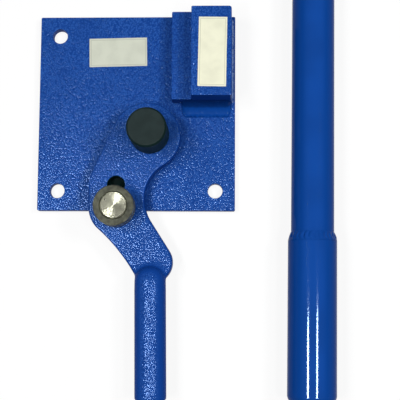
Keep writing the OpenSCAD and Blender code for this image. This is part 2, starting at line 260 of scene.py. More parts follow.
class BenderFinish(bpy.types.PropertyGroup):
    hammer: colour("Hammer paint", "Blue of the hammer-finish paint", (17, 62, 141))
    # Partly grain, partly painted highlight: the lighter blue on the domes' tops stands in for the glints on
    # them
    hammer_light: colour("Hammer paint, raised", "Blue on top of the paint's small domes", (42, 90, 172))
    dome: length("Dome size", "Size of the small domes in the hammer-finish paint", 1.7)
    dome_depth: length("Dome depth", "Depth of the small domes in the hammer-finish paint", 0.33)
    gloss: colour("Gloss paint", "Blue of the smooth paint on the handle", (13, 68, 151))
    oxide: colour("Black oxide", "Colour of the blackened mandrel", (36, 47, 47))
    # Painted shade, not oil: a near-black teal for the mandrel's sides and the bored holes, where little
    # light falls
    oiled: colour("Oiled steel", "Colour of the mandrel's side and the bored holes", (3, 27, 27))
    phosphate: colour("Phosphated steel", "Colour of the roller", (95, 97, 82))
    bright: colour("Bright steel", "Colour of the turned pin", (213, 213, 191))
    bronze: colour("Bronze", "Colour of the bush and the thrust washer", (176, 128, 72))
    plate_film: colour("Plate label", "Colour of the label on the plate", (203, 207, 191))
    block_film: colour("Block label", "Colour of the label on the block", (232, 232, 207))
    label_line: colour("Label frame", "Colour of the thin frame on the labels", (120, 124, 118))
    label_soil: colour("Label soil", "Colour of the soil round the labels' edges", (90, 100, 120))
    paint_rough: share("Paint roughness", "Roughness of the hammer-finish paint", 0.165)
    gloss_rough: share("Gloss roughness", "Roughness of the handle's paint", 0.075)
    paint_shine: share("Paint shine", "Strength of the reflections in the paint", 0.7)
    side_shine: share("Side shine", "Strength of the reflections in the drier paint on upright faces", 0.03)
    # Painted shade, not thinner paint: between these heights over the plate the welds' blue darkens towards
    # near-black
    thin_low: length("Thin paint from", "Height over the plate where the welds' paint starts to thin", 2.6)
    thin_high: length("Thin paint to", "Height over the plate where the welds' paint is thinnest", 4.6)
    # Painted highlight, not rubbed paint: a pale line along the side weld's crest stands in for the glint on
    # it
    rubbed: colour("Rubbed paint", "Pale tone of the rubbed paint on the side weld's crest", (170, 190, 222))
    flake: colour("Flake sheen", "Tint of the reflections in the hammer-finish paint", (152, 188, 244))
    gloss_sheen: colour("Gloss sheen", "Tint of the reflections in the handle's paint", (188, 224, 255))


class BenderStage(bpy.types.PropertyGroup):
    eye: position("Camera place", "Place of the camera", (0.099807, -0.197549, 0.99212))
    aim: triple(
        "Camera turn", "Turn of the camera from looking straight down", (0.110022, 0.034872, 0.006044),
        precision=6, subtype="EULER", unit="ROTATION",
    )
    lens: number("Lens", "Focal length on a 36 mm sensor", 88.447, unit="CAMERA")
    floor: colour("Floor", "Colour of the floor", (254, 254, 254))
    glow: share("Floor glow", "Share of the floor's and the walls' white that shadows leave alone", 0.87)
    horizon: share("Horizon light", "Brightness of the studio's walls", 0.14)
    ceiling: share("Ceiling light", "Brightness of the studio's dim ceiling", 0.06)
    left_lamp: power("Left lamp", "Power of the left lamp", 7.4)
    right_lamp: power("Right lamp", "Power of the right lamp", 6.1)
    left_screen: power("Left screen", "Power of the soft screen on the left", 8.4)
    right_screen: power("Right screen", "Power of the soft screen on the right", 10.7)


# Node trees


def both_ways(operation):
    """A wire's sum with another value, as it is written and the other way round."""
    def forward(self, other):
        return self.math(operation, self, other)

    def backward(self, other):
        return self.math(operation, other, self)

    return forward, backward


class Wire:
    """A socket in a node tree that sums can be written with."""

    def __init__(self, net, socket):
        self.net = net
        self.socket = socket

    def math(self, operation, *values):
        return self.net.node("ShaderNodeMath", dict(enumerate(values)), operation=operation)[0]

    __add__, __radd__ = both_ways("ADD")
    __sub__, __rsub__ = both_ways("SUBTRACT")
    __mul__, __rmul__ = both_ways("MULTIPLY")
    __truediv__, __rtruediv__ = both_ways("DIVIDE")
    __pow__, __rpow__ = both_ways("POWER")
    over = both_ways("MAXIMUM")[0]
    under = both_ways("MINIMUM")[0]

    def __abs__(self):
        return self.math("ABSOLUTE", self)

    def sine(self):
        return self.math("SINE", self)

    def root(self):
        return self.math("SQRT", self)

    def held(self):
        return self.over(0).under(1)

    def eased(self, low, high):
        """0 below low, 1 above high and a smooth rise between them."""
        sockets = {"Value": self, "From Min": low, "From Max": high}
        return self.net.node("ShaderNodeMapRange", sockets, interpolation_type="SMOOTHSTEP")["Result"]


class Outputs:
    """A node's outputs, by name or number."""

    def __init__(self, net, node):
        self.net = net
        self.made = node

    def __getitem__(self, key):
        return Wire(self.net, self.made.outputs[key])


class Net:
    """Adds nodes to a tree."""

    def __init__(self, tree):
        self.tree = tree

    def node(self, kind, sockets=None, **settings):
        """Adds a node, makes its settings and then fills its sockets with values or links."""
        made = self.tree.nodes.new(kind)
        for key, value in settings.items():
            setattr(made, key, value)
        for key, value in (sockets or {}).items():
            if isinstance(value, Wire):
                self.tree.links.new(value.socket, made.inputs[key])
            else:
                made.inputs[key].default_value = value
        return Outputs(self, made)

    def at(self):
        return self.node("ShaderNodeTexCoord")["Object"]

    def centred(self, centre, turn):
        """Coordinates from a pattern's own centre, turned with the pattern."""
        moved = self.vector("SUBTRACT", self.at(), centre)
        return self.node("ShaderNodeMapping", {"Vector": moved, "Rotation": (0, 0, -turn)})["Vector"]

    def vector(self, operation, first, second):
        return self.node("ShaderNodeVectorMath", {0: first, 1: second}, operation=operation)[0]

    def split(self, vector):
        parts = self.node("ShaderNodeSeparateXYZ", {0: vector})
        return parts[0], parts[1], parts[2]

    def combined(self, x, y, z):
        return self.node("ShaderNodeCombineXYZ", {0: x, 1: y, 2: z})[0]

    def upward(self, low, high):
        """1 on faces that look up, 0 on upright ones and underneath."""
        return self.split(self.node("ShaderNodeNewGeometry")["Normal"])[2].eased(low, high)

    def seen(self):
        """1 for what the camera sees, also in metal and glass, and 0 for light that falls on the object."""
        ray = self.node("ShaderNodeLightPath")
        return (ray["Is Camera Ray"] + ray["Is Glossy Ray"] + ray["Is Transmission Ray"]).under(1)

    def noise(self, place, grain, detail=2.0, output="Fac"):
        """Noise whose lumps are about grain across."""
        sockets = {"Vector": place, "Scale": 1 / grain, "Detail": detail}
        return self.node("ShaderNodeTexNoise", sockets)[output]

    def cells(self, place, grain, smooth):
        """Distance to the middle of rounded cells that are about grain across."""
        sockets = {"Vector": place, "Scale": 1 / grain, "Smoothness": smooth}
        return self.node("ShaderNodeTexVoronoi", sockets, feature="SMOOTH_F1")["Distance"]

    def mix(self, factor, first, second):
        return self.node("ShaderNodeMix", {0: factor, 6: first, 7: second}, data_type="RGBA")[2]

    def bump(self, height, depth):
        return self.node("ShaderNodeBump", {"Height": height, "Distance": depth})["Normal"]

    def warped(self, place, grain, amount):
        """Coordinates pushed about by noise, so that a pattern isn't regular."""
        drift = self.vector("SUBTRACT", self.noise(place, grain, 1.0, "Color"), (0.5, 0.5, 0.5))
        return self.vector("ADD", place, self.vector("MULTIPLY", drift, (amount, amount, amount)))

    def shader(self, **sockets):
        """The main shader; a socket's name has an underscore for each space."""
        named = {key.replace("_", " "): value for key, value in sockets.items()}
        return self.node("ShaderNodeBsdfPrincipled", named)["BSDF"]

    def blend(self, factor, first, second):
        return self.node("ShaderNodeMixShader", {0: factor, 1: first, 2: second})[0]

    def end(self, shader):
        self.node("ShaderNodeOutputMaterial", {"Surface": shader})

    def paint(self, look, flat, tint, **sockets):
        """Ends a paint in a shiny coat on the faces that look up and a drier, dull one on upright faces."""
        sockets["Specular_Tint"] = rgba(tint)
        wet = self.shader(IOR=PAINT_IOR, Specular_IOR_Level=look.paint_shine, **sockets)
        dry = self.shader(Specular_IOR_Level=look.side_shine, **sockets)
        self.end(self.blend(flat, dry, wet))


# Materials


def rgba(shade, factor=1.0):
    """A socket's colour, made darker or lighter by a factor."""
    return (*(min(1.0, value * factor) for value in shade), 1.0)


def new_material(name):
    material = bpy.data.materials.new(name)
    material.use_nodes = True
    material.node_tree.nodes.clear()
    return material, Net(material.node_tree)


def built_once(draw):
    """Makes the material that a function draws, under its name, the first time that it is asked for."""
    def found():
        material = bpy.data.materials.get(draw.__name__)
        if material is None:
            material, net = new_material(draw.__name__)
            draw(net, net.at(), bpy.context.scene.bender_finish)
        return material

    return found


@built_once
def hammer_paint(net, place, look):
    """Hammer-finish paint with small shiny domes on the faces that look up, lighter dome tops that are partly
    grain and partly painted highlight, and painted shade on upright faces.
    """
    domes = net.cells(net.warped(place, 3.1 * MM, 1.2 * MM), look.dome, 0.25)
    cloud = net.noise(place, 42 * MM, 3.0)
    # The domes' tops take a lighter blue: partly the paint's grain, partly a painted highlight
    tone = net.mix(domes.eased(0.2, 0.7), rgba(look.hammer_light), rgba(look.hammer))
    patchy = net.mix(cloud.eased(0.35, 0.7) * 0.3, tone, rgba(look.hammer, 0.8))
    flat = net.upward(0.76, 0.97)
    # Upright faces take a plain blue of their own, set by how light falls on them: painted shade
    net.paint(
        look, flat, look.flake,
        Base_Color=net.mix(flat, rgba(look.hammer, 1.05), patchy),
        Roughness=look.paint_rough + (1 - flat) * 0.25,
        Normal=net.bump((1 - domes**2) * (0.15 + 0.85 * flat), look.dome_depth),
    )


@built_once
def weld_paint(net, place, look):
    """Smooth paint on the base's welds, with a painted shade that darkens them higher up and a painted
    highlight along the side weld's crest.
    """
    peel = net.noise(place, 4 * MM)
    fine = net.noise(place, 0.9 * MM)
    tone = net.mix(peel, rgba(look.gloss, 0.72), rgba(look.gloss))
    across, _, height = net.split(place)
    side = across.eased(BLOCK_SIDE - 0.1 * MM, BLOCK_SIDE + 0.1 * MM)
    over = height - PLATE_HIGH.z
    # Painted shade: higher over the plate the welds darken towards near-black, as the shade in front of the
    # block
    thin = net.mix(over.eased(look.thin_low, look.thin_high) * 0.5, tone, rgba(look.hammer, 0.1))
    # Painted highlight along the side weld's crest, for the glint that the lamp leaves there
    crest = 1 - (abs(across - BLOCK_SIDE - 1.1 * MM) / (0.9 * MM)).held()
    net.paint(
        look, net.upward(0.8, 0.98), look.flake,
        Base_Color=net.mix(crest * side * peel.eased(0.2, 0.6) * 0.8, thin, rgba(look.rubbed)),
        Roughness=look.paint_rough - 0.04 + fine * 0.08 + side * 0.2,
        Normal=net.bump(peel * 0.8 + fine * 0.1, 0.12 * MM),
    )


@built_once
def gloss_paint(net, place, look):
    """Glossy paint on the handle, with a faint orange peel, slow sags, dust and painted shade on its upright
    flanks.
    """
    peel = net.noise(place, 2.2 * MM, 1.0)
    sag = net.noise(place, 38 * MM, 1.0)
    dust = net.noise(place, 1.3 * MM, 3.0)
    tone = net.mix(sag.eased(0.3, 0.7), rgba(look.gloss, 0.94), rgba(look.gloss, 1.08))
    flat = net.upward(0.82, 0.97)
    # Upright faces, the flanks of the tube and sleeve, take a darker blue: painted shade
    net.paint(
        look, flat, look.gloss_sheen,
        Base_Color=net.mix(flat, rgba(look.gloss, 0.86), tone),
        Roughness=look.gloss_rough + dust.eased(0.5, 0.8) * 0.08,
        Normal=net.bump(peel + sag * 0.3, 0.03 * MM),
    )


@built_once
def oxide_skin(net, place, look):
    """Black oxide, cloudy on the mandrel's open top, and a near-black painted shade on its sides and in the
    bored holes.
    """
    cloud = net.noise(place, 9 * MM, 3.0)
    fine = net.noise(place, 0.7 * MM)
    tone = net.mix(cloud.eased(0.3, 0.75), rgba(look.oxide, 0.9), rgba(look.oxide, 1.1))
    height = net.split(place)[2]
    open_top = net.upward(0.75, 0.98) * height.eased(BUSH_HIGH.z, BUSH_HIGH.z + 2 * MM)
    # Below the open top, on the sides and in the bored holes, the colour is painted shade
    net.end(net.shader(
        Base_Color=net.mix(open_top, rgba(look.oiled), tone),
        Roughness=0.5 + fine * 0.14,
        Specular_IOR_Level=0.12,
        Normal=net.bump(fine, 0.02 * MM),
    ))


@built_once
def phosphate_skin(net, place, look):
    """Dull phosphated steel, mottled."""
    cloud = net.noise(place, 5 * MM, 4.0)
    fine = net.noise(place, 0.6 * MM)
    net.end(net.shader(
        Base_Color=net.mix(cloud.eased(0.3, 0.7), rgba(look.phosphate, 0.35), rgba(look.phosphate)),
        Metallic=0.25,
        Roughness=0.36 + cloud * 0.16,
        Normal=net.bump(fine * 0.6 + cloud * 0.4, 0.05 * MM),
    ))


@built_once
def turned_steel(net, place, look):
    """Bright turned steel with a light cloud of handling."""
    cloud = net.noise(place, 6 * MM, 4.0)
    tone = net.mix(cloud.eased(0.3, 0.75), rgba(look.bright, 0.84), rgba(look.bright))
    net.end(net.shader(Base_Color=tone, Metallic=1.0, Roughness=0.25 + cloud * 0.08))


@built_once
def bush_bronze(net, place, look):
    """Bronze with cloudy tarnish."""
    cloud = net.noise(place, 5 * MM, 4.0)
    fine = net.noise(place, 0.5 * MM)
    tone = net.mix(cloud, rgba(look.bronze, 0.75), rgba(look.bronze, 1.1))
    net.end(net.shader(Base_Color=tone, Metallic=1.0, Roughness=0.3 + fine * 0.15))


def label_film(name, look, shade, centre, turn, half):
    """Blank label film with a thin printed frame, faint clouding and soil round its edges."""
    material, net = new_material(name)
    across, along, _ = net.split(net.centred((*centre, 0), turn))
    inset = (half.x - abs(across)).under(half.y - abs(along))
    line = inset.eased(1.5 * MM, 1.7 * MM) * (1 - inset.eased(2.0 * MM, 2.2 * MM))
    soil = 1 - inset.eased(0, 0.9 * MM)
    place = net.at()
    cloud = net.noise(place, 14 * MM, 3.0)
    fibre = net.noise(place, 0.7 * MM, 3.0)
    aged = net.mix(cloud.eased(0.35, 0.75), rgba(shade), rgba(shade, 0.9))
    printed = net.mix(line * 0.45, aged, rgba(look.label_line))
    net.end(net.shader(
        Base_Color=net.mix(soil * 0.3, printed, rgba(look.label_soil)),
        Roughness=0.42 + fibre * 0.12,
        Normal=net.bump(fibre * 0.4 + cloud * 0.6, 0.04 * MM),
    ))
    return material


# Meshes


def eased(corners, closed, steps=4):
    """Rounds the corners of a line of (x, y, ease) points."""
    count = len(corners)
    line = []
    for i, (x, y, ease) in enumerate(corners):
        here = Vector((x, y))
        if not ease or (not closed and i in (0, count - 1)):
            line.append(here)
            continue
        back = Vector(corners[i - 1][:2]) - here
        on = Vector(corners[(i + 1) % count][:2]) - here
        cut = min(ease, back.length * MOST_CUT, on.length * MOST_CUT)
        start, end = here + back.normalized() * cut, here + on.normalized() * cut
        if back.length > 3 * cut:
            line.append(here + back.normalized() * HOLD * cut)
        for k in range(steps + 1):
            t = k / steps
            line.append(start * (1 - t) ** 2 + here * 2 * t * (1 - t) + end * t**2)
        if on.length > 3 * cut:
            line.append(here + on.normalized() * HOLD * cut)
    return line


def softened(mesh, sharp=SHARP_ANGLE):
    """Smooth shading with the sharp edges kept."""
    mesh.polygons.foreach_set("use_smooth", [True] * len(mesh.polygons))
    mesh.set_sharp_from_angle(angle=sharp)
    return mesh


def mesh_from(bm):
    """The finished mesh of a shape, with its seams closed and its faces turned outwards."""
    bmesh.ops.remove_doubles(bm, verts=bm.verts, dist=SAME)
    bmesh.ops.recalc_face_normals(bm, faces=bm.faces)
    mesh = bpy.data.meshes.new("shape")
    bm.to_mesh(mesh)
    bm.free()
    return softened(mesh)


def turned(profile, closed=False, segments=128):
    """Turns a line of (radius, height) points about Z; a closed line makes a ring."""
    bm = bmesh.new()
    angles = [2 * math.pi * i / segments for i in range(segments)]
    rings = []
    for radius, height in profile:
        if radius < SAME:
            rings.append([bm.verts.new((0, 0, height))])
        else:
            rings.append([bm.verts.new((radius * math.cos(a), radius * math.sin(a), height)) for a in angles])
    for low, high in zip(rings, rings[1:] + rings[:1] if closed else rings[1:]):
        for i in range(segments):
            j = (i + 1) % segments
            corners = [low[i % len(low)], low[j % len(low)], high[j % len(high)], high[i % len(high)]]
            face = list(dict.fromkeys(corners))
            if len(face) > 2:
                bm.faces.new(face)
    return mesh_from(bm)


def inset_loop(loop, amount):
    """A counter-clockwise loop moved inwards."""
    count = len(loop)
    moved = []
    for i, here in enumerate(loop):
        back = (here - loop[i - 1]).normalized()
        on = (loop[(i + 1) % count] - here).normalized()
        normal = Vector((-back.y - on.y, back.x + on.x))
        normal = normal.normalized() if normal.length > 1e-9 else Vector((-on.y, on.x))
        moved.append(here + normal * amount / max(LEAST_COSINE, normal.dot(Vector((-on.y, on.x)))))
    return moved


def slab(outer, low, high, ease, holes=(), pocket=None, steps=3):
    """A flat piece between two heights: rounded edges, through holes and a hole with a pocket under it."""
    bm = bmesh.new()
    top, bottom = [], []

    def wall(loop, layers):
        rings = []
        for inset, height in layers:
            points = inset_loop(loop, inset) if inset else loop
            rings.append([bm.verts.new((p.x, p.y, height)) for p in points])
        count = len(loop)
        for first, second in zip(rings, rings[1:]):
            for i in range(count):
                j = (i + 1) % count
                bm.faces.new((first[i], first[j], second[j], second[i]))
        return rings

    def rim(ring):
        return [bm.edges.get((a, b)) for a, b in zip(ring, ring[1:] + ring[:1])]

    def cover(edges):
        bmesh.ops.triangle_fill(bm, use_beauty=True, edges=edges)

    hold = HOLD * ease
    turns = [math.pi / 2 * k / steps for k in range(steps + 1)]
    lower = [(ease * (1 - math.sin(a)), low + ease * (1 - math.cos(a))) for a in turns]
    upper = [(ease * (1 - math.cos(a)), high - ease * (1 - math.sin(a))) for a in turns]
    layers = [(hold, low), *lower, (0, low + hold), (0, high - hold), *upper, (hold, high)]
    for loop, side in [(outer, 1)] + [(hole, -1) for hole in holes]:
        rings = wall(loop, [(side * inset, height) for inset, height in layers])
        bottom += rim(rings[0])
        top += rim(rings[-1])
    if pocket:
        mouth, neck, depth = pocket
        recess = wall(mouth, [(0, low), (0, low + depth)])
        bore = wall(neck, [(0, low + depth), (0, high)])
        bottom += rim(recess[0])
        top += rim(bore[-1])
        cover(rim(recess[-1]) + rim(bore[0]))
    cover(top)
    cover(bottom)
    return mesh_from(bm)


def circle_loop(x, y, radius, count=56):
    turns = [2 * math.pi * i / count for i in range(count)]
    return [Vector((x + radius * math.cos(a), y + radius * math.sin(a))) for a in turns]


def box_loop(low, high, corner, back_right):
    """A box's outline with rounded corners, the back one on the right by its own radius."""
    right = [(high.x, low.y, corner), (high.x, high.y, back_right)]
    return eased([(low.x, low.y, corner), *right, (low.x, high.y, corner)], True, 6)


def joined(*meshes):
    bm = bmesh.new()
    for mesh in meshes:
        bm.from_mesh(mesh)
    both = bpy.data.meshes.new("joined")
    bm.to_mesh(both)
    bm.free()
    return both


def new_object(name, mesh):
    made = bpy.data.objects.new(name, mesh)
    bpy.context.scene.collection.objects.link(made)
    return made


def repaint(mesh, material):
    mesh.materials.clear()
    mesh.materials.append(material)


def piece(name, mesh, material, node, place=None):
    """Puts a finished mesh in its place, on the body of the CAD node that it stands for."""
    mesh.name = name
    if place is not None:
        mesh.transform(place)
    if material is not None:
        repaint(mesh, material)
    made = new_object(name, mesh)
    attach(made, BODY_OF[node])
    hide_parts(node)


def baked(work):
    """The mesh of an object with its modifiers applied; the object is removed."""
    graph = bpy.context.evaluated_depsgraph_get()
    mesh = bpy.data.meshes.new_from_object(work.evaluated_get(graph))
    bpy.data.objects.remove(work)
    return mesh


def modified(mesh, *steps, weights=None):
    """A mesh with modifiers applied, each a kind and its settings; weights fill the group called weights."""
    work = new_object("work", mesh)
    if weights is not None:
        group = work.vertex_groups.new(name="weights")
        for index, weight in weights.items():
            group.add([index], weight, "REPLACE")
    for kind, settings in steps:
        modifier = work.modifiers.new(kind, kind)
        for key, value in settings.items():
            setattr(modifier, key, value)
    return baked(work)


def handle_place():
    handle = bpy.context.scene.bender_handle
    lying = Matrix.Rotation(handle.turn, 4, "Z") @ Matrix.Rotation(-handle.tilt, 4, "X")
    return Matrix.Translation(handle.place) @ lying @ Matrix.Rotation(-math.pi / 2, 4, "X")


# Weld beads


def weld_tree():
    """A weld bead along X in a square corner, with ripples: a grid rolled into the bead's closed section."""
    found = bpy.data.node_groups.get("weld_run")
    if found:
        return found
    tree = bpy.data.node_groups.new("weld_run", "GeometryNodeTree")
    sizes = ("Length", "Foot", "Rise", "Fullness", "Pitch", "Ripple", "Ridge", "Taper", "Closed", "Seed")
    inputs = dict.fromkeys(sizes, "NodeSocketFloat")
    inputs |= {"Steps": "NodeSocketInt", "Material": "NodeSocketMaterial"}
    for name, kind in inputs.items():
        tree.interface.new_socket(name, in_out="INPUT", socket_type=kind)
    tree.interface.new_socket("Geometry", in_out="OUTPUT", socket_type="NodeSocketGeometry")

    net = Net(tree)
    given = net.node("NodeGroupInput")
    sockets = {"Size X": given["Length"], "Size Y": 1, "Vertices X": given["Steps"], "Vertices Y": BEAD_ROWS}
    grid = net.node("GeometryNodeMeshGrid", sockets)["Mesh"]
    run, across, _ = net.split(net.node("GeometryNodeInputPosition")["Position"])

    # The section: the open face from the toe on the flat up to the wall, then the two legs of the corner
    v = across + 0.5
    face = (v / FACE_SHARE).held()
    leg = ((v - FACE_SHARE) / (1 - FACE_SHARE)).held()
    full = 2 * face * (1 - face) * given["Fullness"]
    foot = given["Foot"] * ((1 - face) ** 2 + full + (2 * leg - 1).over(0))
    rise = given["Rise"] * (face**2 + full - (2 * leg).under(1))
    crown = 4 * face * (1 - face)

    # Ripples on the face and a lumpy ridge along its toe
    stitch = run / given["Pitch"]
    spot = net.combined(stitch, face * 1.5, given["Seed"])
    rough = net.noise(spot, 1.25)
    lumps = net.noise(spot, LUMP / given["Pitch"], 1.0)
    wave = abs((math.pi * (stitch + crown * 0.4 + rough * 0.8)).sine())
    toe, fade = 0.035, 0.12
    lip = (face / toe).held() * (1 - ((face - toe) / fade).held()) ** 2
    raised = given["Ridge"] * lip * (2.2 * lumps - 0.3).over(0)

    # An open bead shrinks to rounded ends, and a closed one only calms its ripples at the seam
    end = ((given["Length"] / 2 - abs(run)) / given["Taper"]).held()
    calm = end.over(1 - given["Closed"])
    kept = (end * (2 - end)).over(0).root().over(given["Closed"])
    proud = math.sqrt(0.5) * crown * calm * given["Ripple"] * (wave - 0.6 + (rough - 0.5) * 2)
    moved = net.combined(run, (foot + proud) * kept, (rise + proud + raised) * kept)

    mesh = net.node("GeometryNodeSetPosition", {"Geometry": grid, "Position": moved})[0]
    mesh = net.node("GeometryNodeMergeByDistance", {"Geometry": mesh, "Distance": GRID_SAME})[0]
    mesh = net.node("GeometryNodeRealizeInstances", {"Geometry": mesh})[0]
    mesh = net.node("GeometryNodeSetMaterial", {"Geometry": mesh, "Material": given["Material"]})[0]
    net.node("NodeGroupOutput", {0: mesh})
    return tree


def weld_bead(**values):
    """Runs the weld tree with the given inputs and returns the bead's plain mesh."""
    tree = weld_tree()
    work = new_object("work", bpy.data.meshes.new("work"))
    modifier = work.modifiers.new("Weld run", "NODES")
    modifier.node_group = tree
    named = {item.name: item.identifier for item in tree.interface.items_tree if item.in_out == "INPUT"}
    for key, value in values.items():
        modifier[named[key]] = value
    return baked(work)


def reshaped(mesh, rule):
    """Moves each vertex of a weld by a rule, then closes its seams and turns its faces outwards."""
    places = np.empty(len(mesh.vertices) * 3, np.float32)
    mesh.vertices.foreach_get("co", places)
    moved = np.stack(rule(*places.reshape(-1, 3).T.astype(float)), -1)
    mesh.vertices.foreach_set("co", moved.astype(np.float32).ravel())
    bm = bmesh.new()
    bm.from_mesh(mesh)
    bmesh.ops.remove_doubles(bm, verts=bm.verts, dist=WELD_SAME)
    bmesh.ops.dissolve_degenerate(bm, edges=bm.edges, dist=SAME)
    bmesh.ops.recalc_face_normals(bm, faces=bm.faces)
    bm.to_mesh(mesh)
    bm.free()
    return softened(mesh, WELD_ANGLE)


# The lever's outline


def arc(centre, radius, start, end, step=3.0):
    count = max(2, math.ceil(abs(end - start) / step))
    turns = [math.radians(start + (end - start) * i / count) for i in range(count + 1)]
    return [centre + radius * Vector((math.cos(a), math.sin(a))) for a in turns]


def heading(first, second):
    return math.degrees(math.atan2(second.y - first.y, second.x - first.x))


def brought_over(turn, low):
    """The same turn, whole rounds later, so that it isn't below low."""
    return turn + 360 * math.ceil((low - turn) / 360)


def tangent(first, first_r, second, second_r):
    """Direction of the normal of the line that touches both circles."""
    apart = (second - first).length
    return heading(first, second) - math.degrees(math.acos(min(1, (first_r - second_r) / apart)))


def arm_outline(lever):
    """Outline of the lever's arm, counter-clockwise from the head's meeting with the notch."""
    head = Vector((lever.head_x, lever.head_y))
    inner = Vector((-lever.pin_offset, -lever.inner_pin))
    outer = Vector((-lever.pin_offset, -lever.outer_pin))
    knuckle = Vector((lever.knuckle_x, -lever.knuckle_reach))
    notch_at = math.degrees(lever.notch_at)
    to_notch = Vector((math.cos(lever.notch_at), math.sin(lever.notch_at)))
    notch = head + (lever.head_r + lever.notch_r) * to_notch
    way = knuckle - outer
    near, far = lever.boss_r + lever.waist_r, lever.knuckle_r + lever.waist_r
    along = (near**2 - far**2 + way.length**2) / (2 * way.length)
    aside = math.sqrt(near**2 - along**2)
    unit = way.normalized()
    waist = outer + along * unit + aside * Vector((unit.y, -unit.x))
    flank = brought_over(tangent(head, lever.head_r, inner, lever.boss_r), 90)
    boss_end = brought_over(heading(outer, waist), 180)
    knuckle_start = brought_over(heading(knuckle, waist), 180)
    knuckle_end = brought_over(tangent(knuckle, lever.knuckle_r, notch, -lever.notch_r), knuckle_start)
    points = (
        arc(head, lever.head_r, notch_at, flank)
        + arc(inner, lever.boss_r, flank, 180)
        + arc(outer, lever.boss_r, 180, boss_end)
        + arc(waist, lever.waist_r, boss_end - 180, knuckle_start - 180)
        + arc(knuckle, lever.knuckle_r, knuckle_start, knuckle_end)
        + arc(notch, lever.notch_r, knuckle_end - 180, notch_at + 180)
    )
    return [p for i, p in enumerate(points) if (p - points[i - 1]).length > 1e-5]


# Operators


class BENDER_OT_base(bpy.types.Operator):
    """Builds the base plate, the support bar and the stop block"""

    bl_idname = "bender.base"
    bl_label = "Base"

    def execute(self, context):
        base = context.scene.bender_base
        x, y = PLATE_HIGH.x - base.bolt_inset, PLATE_HIGH.y - base.bolt_inset
        holes = [circle_loop(hx, hy, base.bolt_r) for hx, hy in ((-x, y), (-x, -y), (x, -y))]
        post_x, post_y, _ = PIVOT.translation
        mouth, neck = (circle_loop(post_x, post_y, radius) for radius in (base.recess_r, base.neck_r))
        pocket = (mouth, neck, base.recess_h)
        for name, node, back, cut in (
            ("plate", "base_plate", base.corner, (holes, pocket)),
            ("work_bar", "support_bar", base.corner, ()),
            ("heel_block", "stop_block", base.back_corner, ()),
        ):
            low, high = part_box(node)
            outline = box_loop(low, high, base.corner, back)
            piece(name, slab(outline, low.z, high.z, base.edge, *cut), hammer_paint(), node)
        return {"FINISHED"}


class BENDER_OT_welds(bpy.types.Operator):
    """Builds the weld beads on the base and on the handle"""

    bl_idname = "bender.welds"
    bl_label = "Weld beads"

    def execute(self, context):
        base, handle = context.scene.bender_base, context.scene.bender_handle
        low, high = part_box("front_bead")
        mesh = weld_bead(
            Length=high.x - low.x, Foot=high.y - low.y, Rise=high.z - low.z, Fullness=0.085,
            Pitch=3 * base.pitch, Ripple=base.ripple, Ridge=base.ridge, Taper=5 * MM,
            Steps=160, Seed=7.0, Material=weld_paint(),
        )
        middle = (low.x + high.x) / 2
        reshaped(mesh, lambda x, y, z: (middle + x, high.y - y, low.z + z))
        piece("front_weld", mesh, None, "front_bead")

        low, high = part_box("side_bead")
        mesh = weld_bead(
            Length=high.y - low.y, Foot=high.x - low.x, Rise=high.z - low.z, Fullness=0.85,
            Pitch=base.pitch, Ripple=2.2 * base.ripple, Taper=4 * MM,
            Steps=260, Seed=8.0, Material=weld_paint(),
        )
        middle = (low.y + high.y) / 2
        reshaped(mesh, lambda x, y, z: (low.x + y, middle + x, low.z + z))
        piece("side_weld", mesh, None, "side_bead")

        around = 2 * math.pi * handle.tube_r
        mesh = weld_bead(
            Length=around, Foot=handle.weld_l, Rise=handle.sleeve_r - handle.tube_r, Fullness=0.56,
            Pitch=around / round(around / handle.weld_pitch), Ripple=handle.weld_ripple, Taper=2 * MM,
            Closed=1.0, Steps=321, Seed=5.0, Material=gloss_paint(),
        )

        def wrapped(x, y, z):
            turn, radius = 2 * math.pi * x / around, handle.tube_r + z
            return radius * np.cos(turn), radius * np.sin(turn), handle.sleeve_l + y

        piece("grip_weld", reshaped(mesh, wrapped), None, "handle_bead", handle_place())
        return {"FINISHED"}


class BENDER_OT_labels(bpy.types.Operator):
    """Builds the two blank labels"""

    bl_idname = "bender.labels"
    bl_label = "Labels"

    def execute(self, context):
        base, look = context.scene.bender_base, context.scene.bender_finish
        for spot, shade, turn, wide, tall in (
            ("plate", look.plate_film, base.plate_label_turn, base.plate_label_w, base.plate_label_h),
            ("block", look.block_film, base.block_label_turn, base.block_label_w, base.block_label_l),
        ):
            name, node = f"{spot}_sticker", f"{spot}_label"
            low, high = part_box(node)
            half = Vector((wide, tall)) / 2
            outline = box_loop(-half, half, base.label_r, base.label_r)
            mesh = slab(outline, low.z, high.z, base.label_edge, steps=2)
            film = label_film(f"{name}_film", look, shade, (low + high).xy / 2, turn, half)
            piece(name, mesh, film, node, upright_axis(low, high) @ Matrix.Rotation(turn, 4, "Z"))
        return {"FINISHED"}


